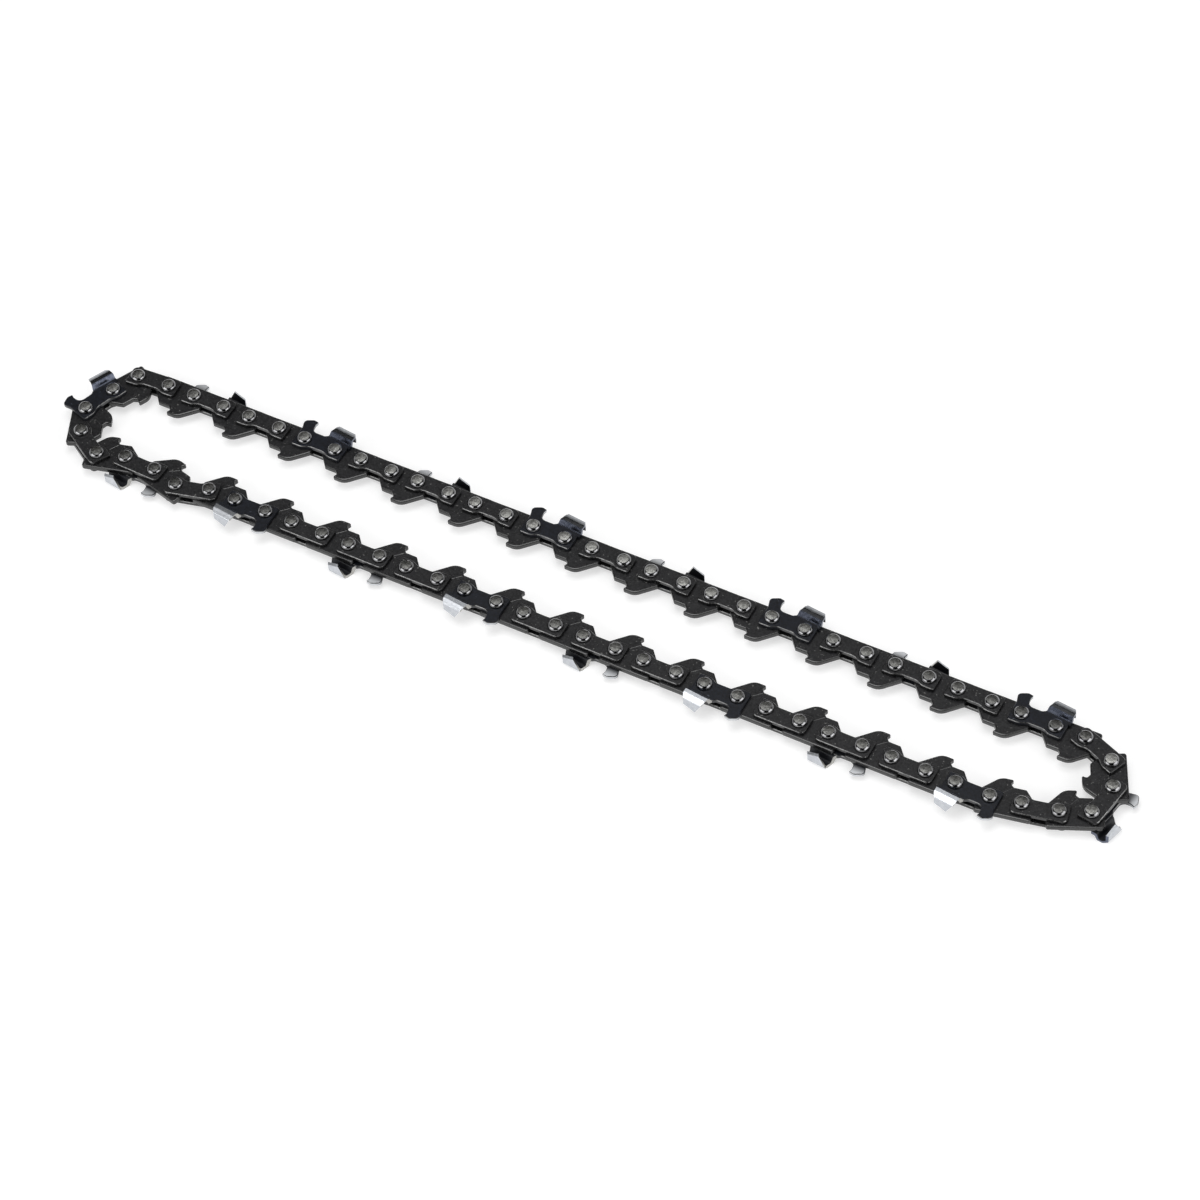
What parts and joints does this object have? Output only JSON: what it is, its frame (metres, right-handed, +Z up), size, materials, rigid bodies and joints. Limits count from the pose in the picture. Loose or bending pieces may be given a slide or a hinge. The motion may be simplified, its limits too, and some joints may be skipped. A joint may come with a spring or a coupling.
{
  "type": "chainsaw chain loop",
  "caption": "Closed loop of narrow saw chain lying on its side: hooked drive links, waisted tie straps and alternate upper and lower cutters, pivoting on headed rivets.",
  "frame": {"origin": "middle of the loop's outline, on the surface that it lies on", "axes": "+X along the two straight runs, +Y towards the far run, +Z up along the rivets"},
  "size_m": [0.2272, 0.03, 0.0047],
  "materials": {
    "black_steel": "black oxide, satin",
    "cutter_steel": "blue-black plate with a chromed tooth"
  },
  "bodies": {
    "left_turn": {"left_turn_tie_links": "black_steel", "left_turn_drive_links": "black_steel", "left_turn_lower_cutter_link_02": "cutter_steel", "left_turn_lower_cutter_link_66": "cutter_steel", "left_turn_upper_cutter_link_70": "cutter_steel"},
    "far_drive_link_03": {"far_drive_link_03": "black_steel"},
    "far_tie_link_04": {"far_tie_link_04": "black_steel"},
    "far_drive_link_05": {"far_drive_link_05": "black_steel"},
    "far_upper_cutter_link_06": {"far_upper_cutter_link_06": "cutter_steel"},
    "far_drive_link_07": {"far_drive_link_07": "black_steel"},
    "far_tie_link_08": {"far_tie_link_08": "black_steel"},
    "far_drive_link_09": {"far_drive_link_09": "black_steel"},
    "far_lower_cutter_link_10": {"far_lower_cutter_link_10": "cutter_steel"},
    "far_drive_link_11": {"far_drive_link_11": "black_steel"},
    "far_tie_link_12": {"far_tie_link_12": "black_steel"},
    "far_drive_link_13": {"far_drive_link_13": "black_steel"},
    "far_upper_cutter_link_14": {"far_upper_cutter_link_14": "cutter_steel"},
    "far_drive_link_15": {"far_drive_link_15": "black_steel"},
    "far_tie_link_16": {"far_tie_link_16": "black_steel"},
    "far_drive_link_17": {"far_drive_link_17": "black_steel"},
    "far_lower_cutter_link_18": {"far_lower_cutter_link_18": "cutter_steel"},
    "far_drive_link_19": {"far_drive_link_19": "black_steel"},
    "far_tie_link_20": {"far_tie_link_20": "black_steel"},
    "far_drive_link_21": {"far_drive_link_21": "black_steel"},
    "far_upper_cutter_link_22": {"far_upper_cutter_link_22": "cutter_steel"},
    "far_drive_link_23": {"far_drive_link_23": "black_steel"},
    "far_tie_link_24": {"far_tie_link_24": "black_steel"},
    "far_drive_link_25": {"far_drive_link_25": "black_steel"},
    "far_lower_cutter_link_26": {"far_lower_cutter_link_26": "cutter_steel"},
    "far_drive_link_27": {"far_drive_link_27": "black_steel"},
    "right_turn": {"right_turn_tie_links": "black_steel", "right_turn_drive_links": "black_steel", "right_turn_upper_cutter_link_30": "cutter_steel", "right_turn_lower_cutter_link_34": "cutter_steel", "right_turn_upper_cutter_link_38": "cutter_steel"},
    "near_drive_link_39": {"near_drive_link_39": "black_steel"},
    "near_tie_link_40": {"near_tie_link_40": "black_steel"},
    "near_drive_link_41": {"near_drive_link_41": "black_steel"},
    "near_lower_cutter_link_42": {"near_lower_cutter_link_42": "cutter_steel"},
    "near_drive_link_43": {"near_drive_link_43": "black_steel"},
    "near_tie_link_44": {"near_tie_link_44": "black_steel"},
    "near_drive_link_45": {"near_drive_link_45": "black_steel"},
    "near_upper_cutter_link_46": {"near_upper_cutter_link_46": "cutter_steel"},
    "near_drive_link_47": {"near_drive_link_47": "black_steel"},
    "near_tie_link_48": {"near_tie_link_48": "black_steel"},
    "near_drive_link_49": {"near_drive_link_49": "black_steel"},
    "near_lower_cutter_link_50": {"near_lower_cutter_link_50": "cutter_steel"},
    "near_drive_link_51": {"near_drive_link_51": "black_steel"},
    "near_tie_link_52": {"near_tie_link_52": "black_steel"},
    "near_drive_link_53": {"near_drive_link_53": "black_steel"},
    "near_upper_cutter_link_54": {"near_upper_cutter_link_54": "cutter_steel"},
    "near_drive_link_55": {"near_drive_link_55": "black_steel"},
    "near_tie_link_56": {"near_tie_link_56": "black_steel"},
    "near_drive_link_57": {"near_drive_link_57": "black_steel"},
    "near_lower_cutter_link_58": {"near_lower_cutter_link_58": "cutter_steel"},
    "near_drive_link_59": {"near_drive_link_59": "black_steel"},
    "near_tie_link_60": {"near_tie_link_60": "black_steel"},
    "near_drive_link_61": {"near_drive_link_61": "black_steel"},
    "near_upper_cutter_link_62": {"near_upper_cutter_link_62": "cutter_steel"},
    "near_drive_link_63": {"near_drive_link_63": "black_steel"}
  },
  "joints": [
    {"name": "rivet_03", "type": "hinge", "parent": "left_turn", "child": "far_drive_link_03", "pos_m": [-0.08415, 0.00975, 0.00234], "axis": [0, 0, 1], "range_deg": [-18, 18]},
    {"name": "rivet_04", "type": "hinge", "parent": "far_drive_link_03", "child": "far_tie_link_04", "pos_m": [-0.07829, 0.00975, 0.00234], "axis": [0, 0, 1], "range_deg": [-18, 18]},
    {"name": "rivet_05", "type": "hinge", "parent": "far_tie_link_04", "child": "far_drive_link_05", "pos_m": [-0.07145, 0.00975, 0.00234], "axis": [0, 0, 1], "range_deg": [-18, 18]},
    {"name": "rivet_06", "type": "hinge", "parent": "far_drive_link_05", "child": "far_upper_cutter_link_06", "pos_m": [-0.06559, 0.00975, 0.00234], "axis": [0, 0, 1], "range_deg": [-18, 18]},
    {"name": "rivet_07", "type": "hinge", "parent": "far_upper_cutter_link_06", "child": "far_drive_link_07", "pos_m": [-0.05875, 0.00975, 0.00234], "axis": [0, 0, 1], "range_deg": [-18, 18]},
    {"name": "rivet_08", "type": "hinge", "parent": "far_drive_link_07", "child": "far_tie_link_08", "pos_m": [-0.05289, 0.00975, 0.00234], "axis": [0, 0, 1], "range_deg": [-18, 18]},
    {"name": "rivet_09", "type": "hinge", "parent": "far_tie_link_08", "child": "far_drive_link_09", "pos_m": [-0.04605, 0.00975, 0.00234], "axis": [0, 0, 1], "range_deg": [-18, 18]},
    {"name": "rivet_10", "type": "hinge", "parent": "far_drive_link_09", "child": "far_lower_cutter_link_10", "pos_m": [-0.04019, 0.00975, 0.00234], "axis": [0, 0, 1], "range_deg": [-18, 18]},
    {"name": "rivet_11", "type": "hinge", "parent": "far_lower_cutter_link_10", "child": "far_drive_link_11", "pos_m": [-0.03335, 0.00975, 0.00234], "axis": [0, 0, 1], "range_deg": [-18, 18]},
    {"name": "rivet_12", "type": "hinge", "parent": "far_drive_link_11", "child": "far_tie_link_12", "pos_m": [-0.02749, 0.00975, 0.00234], "axis": [0, 0, 1], "range_deg": [-18, 18]},
    {"name": "rivet_13", "type": "hinge", "parent": "far_tie_link_12", "child": "far_drive_link_13", "pos_m": [-0.02065, 0.00975, 0.00234], "axis": [0, 0, 1], "range_deg": [-18, 18]},
    {"name": "rivet_14", "type": "hinge", "parent": "far_drive_link_13", "child": "far_upper_cutter_link_14", "pos_m": [-0.01479, 0.00975, 0.00234], "axis": [0, 0, 1], "range_deg": [-18, 18]},
    {"name": "rivet_15", "type": "hinge", "parent": "far_upper_cutter_link_14", "child": "far_drive_link_15", "pos_m": [-0.00795, 0.00975, 0.00234], "axis": [0, 0, 1], "range_deg": [-18, 18]},
    {"name": "rivet_16", "type": "hinge", "parent": "far_drive_link_15", "child": "far_tie_link_16", "pos_m": [-0.00209, 0.00975, 0.00234], "axis": [0, 0, 1], "range_deg": [-18, 18]},
    {"name": "rivet_17", "type": "hinge", "parent": "far_tie_link_16", "child": "far_drive_link_17", "pos_m": [0.00475, 0.00975, 0.00234], "axis": [0, 0, 1], "range_deg": [-18, 18]},
    {"name": "rivet_18", "type": "hinge", "parent": "far_drive_link_17", "child": "far_lower_cutter_link_18", "pos_m": [0.01061, 0.00975, 0.00234], "axis": [0, 0, 1], "range_deg": [-18, 18]},
    {"name": "rivet_19", "type": "hinge", "parent": "far_lower_cutter_link_18", "child": "far_drive_link_19", "pos_m": [0.01745, 0.00975, 0.00234], "axis": [0, 0, 1], "range_deg": [-18, 18]},
    {"name": "rivet_20", "type": "hinge", "parent": "far_drive_link_19", "child": "far_tie_link_20", "pos_m": [0.02331, 0.00975, 0.00234], "axis": [0, 0, 1], "range_deg": [-18, 18]},
    {"name": "rivet_21", "type": "hinge", "parent": "far_tie_link_20", "child": "far_drive_link_21", "pos_m": [0.03015, 0.00975, 0.00234], "axis": [0, 0, 1], "range_deg": [-18, 18]},
    {"name": "rivet_22", "type": "hinge", "parent": "far_drive_link_21", "child": "far_upper_cutter_link_22", "pos_m": [0.03601, 0.00975, 0.00234], "axis": [0, 0, 1], "range_deg": [-18, 18]},
    {"name": "rivet_23", "type": "hinge", "parent": "far_upper_cutter_link_22", "child": "far_drive_link_23", "pos_m": [0.04285, 0.00975, 0.00234], "axis": [0, 0, 1], "range_deg": [-18, 18]},
    {"name": "rivet_24", "type": "hinge", "parent": "far_drive_link_23", "child": "far_tie_link_24", "pos_m": [0.04871, 0.00975, 0.00234], "axis": [0, 0, 1], "range_deg": [-18, 18]},
    {"name": "rivet_25", "type": "hinge", "parent": "far_tie_link_24", "child": "far_drive_link_25", "pos_m": [0.05555, 0.00975, 0.00234], "axis": [0, 0, 1], "range_deg": [-18, 18]},
    {"name": "rivet_26", "type": "hinge", "parent": "far_drive_link_25", "child": "far_lower_cutter_link_26", "pos_m": [0.06141, 0.00975, 0.00234], "axis": [0, 0, 1], "range_deg": [-18, 18]},
    {"name": "rivet_27", "type": "hinge", "parent": "far_lower_cutter_link_26", "child": "far_drive_link_27", "pos_m": [0.06825, 0.00975, 0.00234], "axis": [0, 0, 1], "range_deg": [-18, 18]},
    {"name": "rivet_28", "type": "hinge", "parent": "far_drive_link_27", "child": "right_turn", "pos_m": [0.07411, 0.00975, 0.00234], "axis": [0, 0, 1], "range_deg": [-18, 18]},
    {"name": "rivet_64", "type": "hinge", "parent": "left_turn", "child": "near_drive_link_63", "pos_m": [-0.07545, -0.00971, 0.00234], "axis": [0, 0, 1], "range_deg": [-18, 18]},
    {"name": "rivet_63", "type": "hinge", "parent": "near_drive_link_63", "child": "near_upper_cutter_link_62", "pos_m": [-0.06959, -0.00971, 0.00234], "axis": [0, 0, 1], "range_deg": [-18, 18]},
    {"name": "rivet_62", "type": "hinge", "parent": "near_upper_cutter_link_62", "child": "near_drive_link_61", "pos_m": [-0.06275, -0.00971, 0.00234], "axis": [0, 0, 1], "range_deg": [-18, 18]},
    {"name": "rivet_61", "type": "hinge", "parent": "near_drive_link_61", "child": "near_tie_link_60", "pos_m": [-0.05689, -0.00971, 0.00234], "axis": [0, 0, 1], "range_deg": [-18, 18]},
    {"name": "rivet_60", "type": "hinge", "parent": "near_tie_link_60", "child": "near_drive_link_59", "pos_m": [-0.05005, -0.00971, 0.00234], "axis": [0, 0, 1], "range_deg": [-18, 18]},
    {"name": "rivet_59", "type": "hinge", "parent": "near_drive_link_59", "child": "near_lower_cutter_link_58", "pos_m": [-0.04419, -0.00971, 0.00234], "axis": [0, 0, 1], "range_deg": [-18, 18]},
    {"name": "rivet_58", "type": "hinge", "parent": "near_lower_cutter_link_58", "child": "near_drive_link_57", "pos_m": [-0.03735, -0.00971, 0.00234], "axis": [0, 0, 1], "range_deg": [-18, 18]},
    {"name": "rivet_57", "type": "hinge", "parent": "near_drive_link_57", "child": "near_tie_link_56", "pos_m": [-0.03149, -0.00971, 0.00234], "axis": [0, 0, 1], "range_deg": [-18, 18]},
    {"name": "rivet_56", "type": "hinge", "parent": "near_tie_link_56", "child": "near_drive_link_55", "pos_m": [-0.02465, -0.00971, 0.00234], "axis": [0, 0, 1], "range_deg": [-18, 18]},
    {"name": "rivet_55", "type": "hinge", "parent": "near_drive_link_55", "child": "near_upper_cutter_link_54", "pos_m": [-0.01879, -0.00971, 0.00234], "axis": [0, 0, 1], "range_deg": [-18, 18]},
    {"name": "rivet_54", "type": "hinge", "parent": "near_upper_cutter_link_54", "child": "near_drive_link_53", "pos_m": [-0.01195, -0.00971, 0.00234], "axis": [0, 0, 1], "range_deg": [-18, 18]},
    {"name": "rivet_53", "type": "hinge", "parent": "near_drive_link_53", "child": "near_tie_link_52", "pos_m": [-0.00609, -0.00971, 0.00234], "axis": [0, 0, 1], "range_deg": [-18, 18]},
    {"name": "rivet_52", "type": "hinge", "parent": "near_tie_link_52", "child": "near_drive_link_51", "pos_m": [0.00075, -0.00971, 0.00234], "axis": [0, 0, 1], "range_deg": [-18, 18]},
    {"name": "rivet_51", "type": "hinge", "parent": "near_drive_link_51", "child": "near_lower_cutter_link_50", "pos_m": [0.00661, -0.00971, 0.00234], "axis": [0, 0, 1], "range_deg": [-18, 18]},
    {"name": "rivet_50", "type": "hinge", "parent": "near_lower_cutter_link_50", "child": "near_drive_link_49", "pos_m": [0.01345, -0.00971, 0.00234], "axis": [0, 0, 1], "range_deg": [-18, 18]},
    {"name": "rivet_49", "type": "hinge", "parent": "near_drive_link_49", "child": "near_tie_link_48", "pos_m": [0.01931, -0.00971, 0.00234], "axis": [0, 0, 1], "range_deg": [-18, 18]},
    {"name": "rivet_48", "type": "hinge", "parent": "near_tie_link_48", "child": "near_drive_link_47", "pos_m": [0.02615, -0.00971, 0.00234], "axis": [0, 0, 1], "range_deg": [-18, 18]},
    {"name": "rivet_47", "type": "hinge", "parent": "near_drive_link_47", "child": "near_upper_cutter_link_46", "pos_m": [0.03201, -0.00971, 0.00234], "axis": [0, 0, 1], "range_deg": [-18, 18]},
    {"name": "rivet_46", "type": "hinge", "parent": "near_upper_cutter_link_46", "child": "near_drive_link_45", "pos_m": [0.03885, -0.00971, 0.00234], "axis": [0, 0, 1], "range_deg": [-18, 18]},
    {"name": "rivet_45", "type": "hinge", "parent": "near_drive_link_45", "child": "near_tie_link_44", "pos_m": [0.04471, -0.00971, 0.00234], "axis": [0, 0, 1], "range_deg": [-18, 18]},
    {"name": "rivet_44", "type": "hinge", "parent": "near_tie_link_44", "child": "near_drive_link_43", "pos_m": [0.05155, -0.00971, 0.00234], "axis": [0, 0, 1], "range_deg": [-18, 18]},
    {"name": "rivet_43", "type": "hinge", "parent": "near_drive_link_43", "child": "near_lower_cutter_link_42", "pos_m": [0.05741, -0.00971, 0.00234], "axis": [0, 0, 1], "range_deg": [-18, 18]},
    {"name": "rivet_42", "type": "hinge", "parent": "near_lower_cutter_link_42", "child": "near_drive_link_41", "pos_m": [0.06425, -0.00971, 0.00234], "axis": [0, 0, 1], "range_deg": [-18, 18]},
    {"name": "rivet_41", "type": "hinge", "parent": "near_drive_link_41", "child": "near_tie_link_40", "pos_m": [0.07011, -0.00971, 0.00234], "axis": [0, 0, 1], "range_deg": [-18, 18]},
    {"name": "rivet_40", "type": "hinge", "parent": "near_tie_link_40", "child": "near_drive_link_39", "pos_m": [0.07695, -0.00971, 0.00234], "axis": [0, 0, 1], "range_deg": [-18, 18]}
  ],
  "couplings": [
    {"joint": "rivet_04", "follows": "rivet_03", "ratio": -1},
    {"joint": "rivet_06", "follows": "rivet_05", "ratio": -1},
    {"joint": "rivet_08", "follows": "rivet_07", "ratio": -1},
    {"joint": "rivet_10", "follows": "rivet_09", "ratio": -1},
    {"joint": "rivet_12", "follows": "rivet_11", "ratio": -1},
    {"joint": "rivet_14", "follows": "rivet_13", "ratio": -1},
    {"joint": "rivet_16", "follows": "rivet_15", "ratio": -1},
    {"joint": "rivet_18", "follows": "rivet_17", "ratio": -1},
    {"joint": "rivet_20", "follows": "rivet_19", "ratio": -1},
    {"joint": "rivet_22", "follows": "rivet_21", "ratio": -1},
    {"joint": "rivet_24", "follows": "rivet_23", "ratio": -1},
    {"joint": "rivet_26", "follows": "rivet_25", "ratio": -1},
    {"joint": "rivet_28", "follows": "rivet_27", "ratio": -1},
    {"joint": "rivet_64", "follows": "rivet_27", "ratio": 1},
    {"joint": "rivet_63", "follows": "rivet_27", "ratio": -1},
    {"joint": "rivet_62", "follows": "rivet_25", "ratio": 1},
    {"joint": "rivet_61", "follows": "rivet_25", "ratio": -1},
    {"joint": "rivet_60", "follows": "rivet_23", "ratio": 1},
    {"joint": "rivet_59", "follows": "rivet_23", "ratio": -1},
    {"joint": "rivet_58", "follows": "rivet_21", "ratio": 1},
    {"joint": "rivet_57", "follows": "rivet_21", "ratio": -1},
    {"joint": "rivet_56", "follows": "rivet_19", "ratio": 1},
    {"joint": "rivet_55", "follows": "rivet_19", "ratio": -1},
    {"joint": "rivet_54", "follows": "rivet_17", "ratio": 1},
    {"joint": "rivet_53", "follows": "rivet_17", "ratio": -1},
    {"joint": "rivet_52", "follows": "rivet_15", "ratio": 1},
    {"joint": "rivet_51", "follows": "rivet_15", "ratio": -1},
    {"joint": "rivet_50", "follows": "rivet_13", "ratio": 1},
    {"joint": "rivet_49", "follows": "rivet_13", "ratio": -1},
    {"joint": "rivet_48", "follows": "rivet_11", "ratio": 1},
    {"joint": "rivet_47", "follows": "rivet_11", "ratio": -1},
    {"joint": "rivet_46", "follows": "rivet_09", "ratio": 1},
    {"joint": "rivet_45", "follows": "rivet_09", "ratio": -1},
    {"joint": "rivet_44", "follows": "rivet_07", "ratio": 1},
    {"joint": "rivet_43", "follows": "rivet_07", "ratio": -1},
    {"joint": "rivet_42", "follows": "rivet_05", "ratio": 1},
    {"joint": "rivet_41", "follows": "rivet_05", "ratio": -1},
    {"joint": "rivet_40", "follows": "rivet_03", "ratio": 1}
  ]
}
